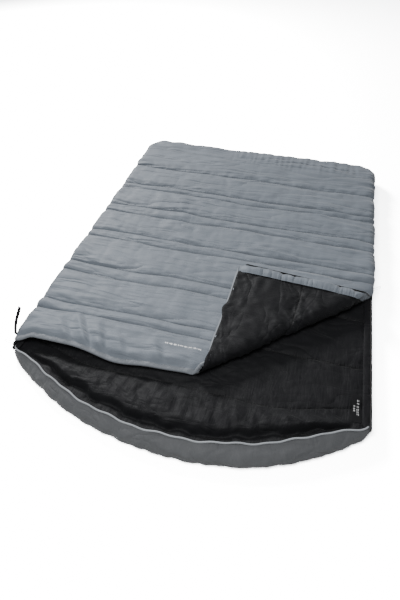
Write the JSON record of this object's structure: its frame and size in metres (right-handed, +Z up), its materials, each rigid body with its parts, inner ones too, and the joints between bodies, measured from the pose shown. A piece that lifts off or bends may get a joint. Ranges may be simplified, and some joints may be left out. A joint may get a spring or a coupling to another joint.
{
  "type": "rectangular sleeping bag",
  "caption": "Wide rectangular sleeping bag lying flat: quilted top and bottom joined at the foot, side zips with sliders, head corner turned back.",
  "frame": {"origin": "middle of the footprint, on the floor", "axes": "+Y from the head end to the foot, +X to the right seen from the head end, +Z up"},
  "size_m": [1.5702, 2.1298, 0.1382],
  "materials": {
    "shell_cloth": "plain-woven brushed polyester",
    "lining_cloth": "soft matt polyester lining",
    "wadding": "hollow-fibre wadding",
    "binding_cloth": "folded bias binding",
    "piping_cord": "covered piping",
    "tape_cloth": "woven zip tape",
    "coil_nylon": "coiled nylon teeth",
    "stop_metal": "crimped painted metal",
    "slider_metal": "black painted die-cast metal",
    "pull_wire": "bent steel wire",
    "tab_webbing": "black webbing",
    "hook_pile": "moulded hook tape",
    "loop_pile": "brushed loop tape",
    "label_cloth": "woven label"
  },
  "bodies": {
    "bottom_quilt": {"bottom_shell": "shell_cloth", "bottom_wadding": "wadding", "bottom_lining": "lining_cloth", "head_piping": "piping_cord", "foot_seam": "shell_cloth", "care_label": "label_cloth", "draught_tube_left": "lining_cloth", "draught_tube_right": "lining_cloth", "tab_patch": "loop_pile", "bottom_zip_tape_left": "tape_cloth", "bottom_zip_coil_left": "coil_nylon", "bottom_zip_stops_left": "stop_metal", "bottom_zip_tape_right": "tape_cloth", "bottom_zip_coil_right": "coil_nylon", "bottom_zip_stops_right": "stop_metal"},
    "top_quilt": {"top_shell": "shell_cloth", "top_wadding": "wadding", "top_lining": "lining_cloth", "top_hem_binding": "binding_cloth", "top_zip_tape_right": "tape_cloth", "top_zip_coil_right": "coil_nylon", "top_zip_tape_left": "tape_cloth", "top_zip_coil_left": "coil_nylon"},
    "fold_roll": {"fold_shell": "shell_cloth", "fold_wadding": "wadding", "fold_lining": "lining_cloth", "fold_hem_binding": "binding_cloth", "fold_zip_tape_right": "tape_cloth", "fold_zip_coil_right": "coil_nylon"},
    "turned_corner": {"corner_shell": "shell_cloth", "corner_wadding": "wadding", "corner_lining": "lining_cloth", "corner_hem_binding": "binding_cloth", "corner_zip_tape_right": "tape_cloth", "corner_zip_coil_right": "coil_nylon"},
    "slider_left": {"slider_body_left": "slider_metal"},
    "puller_left": {"pull_wire_left": "pull_wire"},
    "slider_right": {"slider_body_right": "slider_metal"},
    "puller_right": {"pull_wire_right": "pull_wire"},
    "tab": {"tab_strap": "tab_webbing", "tab_hook": "hook_pile"}
  },
  "joints": [
    {"name": "top_quilt_lift", "type": "hinge", "parent": "bottom_quilt", "child": "top_quilt", "pos_m": [0, 1.065, 0.045], "axis": [-1, 0, 0], "range_deg": [0, 178]},
    {"name": "fold_rise", "type": "hinge", "parent": "top_quilt", "child": "fold_roll", "pos_m": [0.742, -0.105, 0.058], "axis": [0.7373, 0.6756, 0], "range_deg": [0, 90]},
    {"name": "corner_turn", "type": "hinge", "parent": "fold_roll", "child": "turned_corner", "pos_m": [0.742, -0.105, 0.121], "axis": [0.7373, 0.6756, 0], "range_deg": [0, 90]},
    {"name": "slider_left_run", "type": "slide", "parent": "bottom_quilt", "child": "slider_left", "axis": [0, 1, 0], "range_m": [0, 1.655]},
    {"name": "slider_right_run", "type": "slide", "parent": "bottom_quilt", "child": "slider_right", "axis": [0, 1, 0], "range_m": [-0.73, 0.925]},
    {"name": "puller_left_swing", "type": "hinge", "parent": "slider_left", "child": "puller_left", "pos_m": [-0.7478, -0.77, 0.053], "axis": [0, 0, -1], "range_deg": [-80, 80]},
    {"name": "puller_right_swing", "type": "hinge", "parent": "slider_right", "child": "puller_right", "pos_m": [0.7478, -0.04, 0.053], "axis": [0, 0, 1], "range_deg": [-115, 45]},
    {"name": "tab_fold", "type": "hinge", "parent": "top_quilt", "child": "tab", "pos_m": [-0.745, -0.745, 0.08], "axis": [0, -0.3907, 0.9205], "range_deg": [-10, 95]}
  ],
  "couplings": [
    {"joint": "corner_turn", "follows": "fold_rise", "ratio": 1}
  ]
}
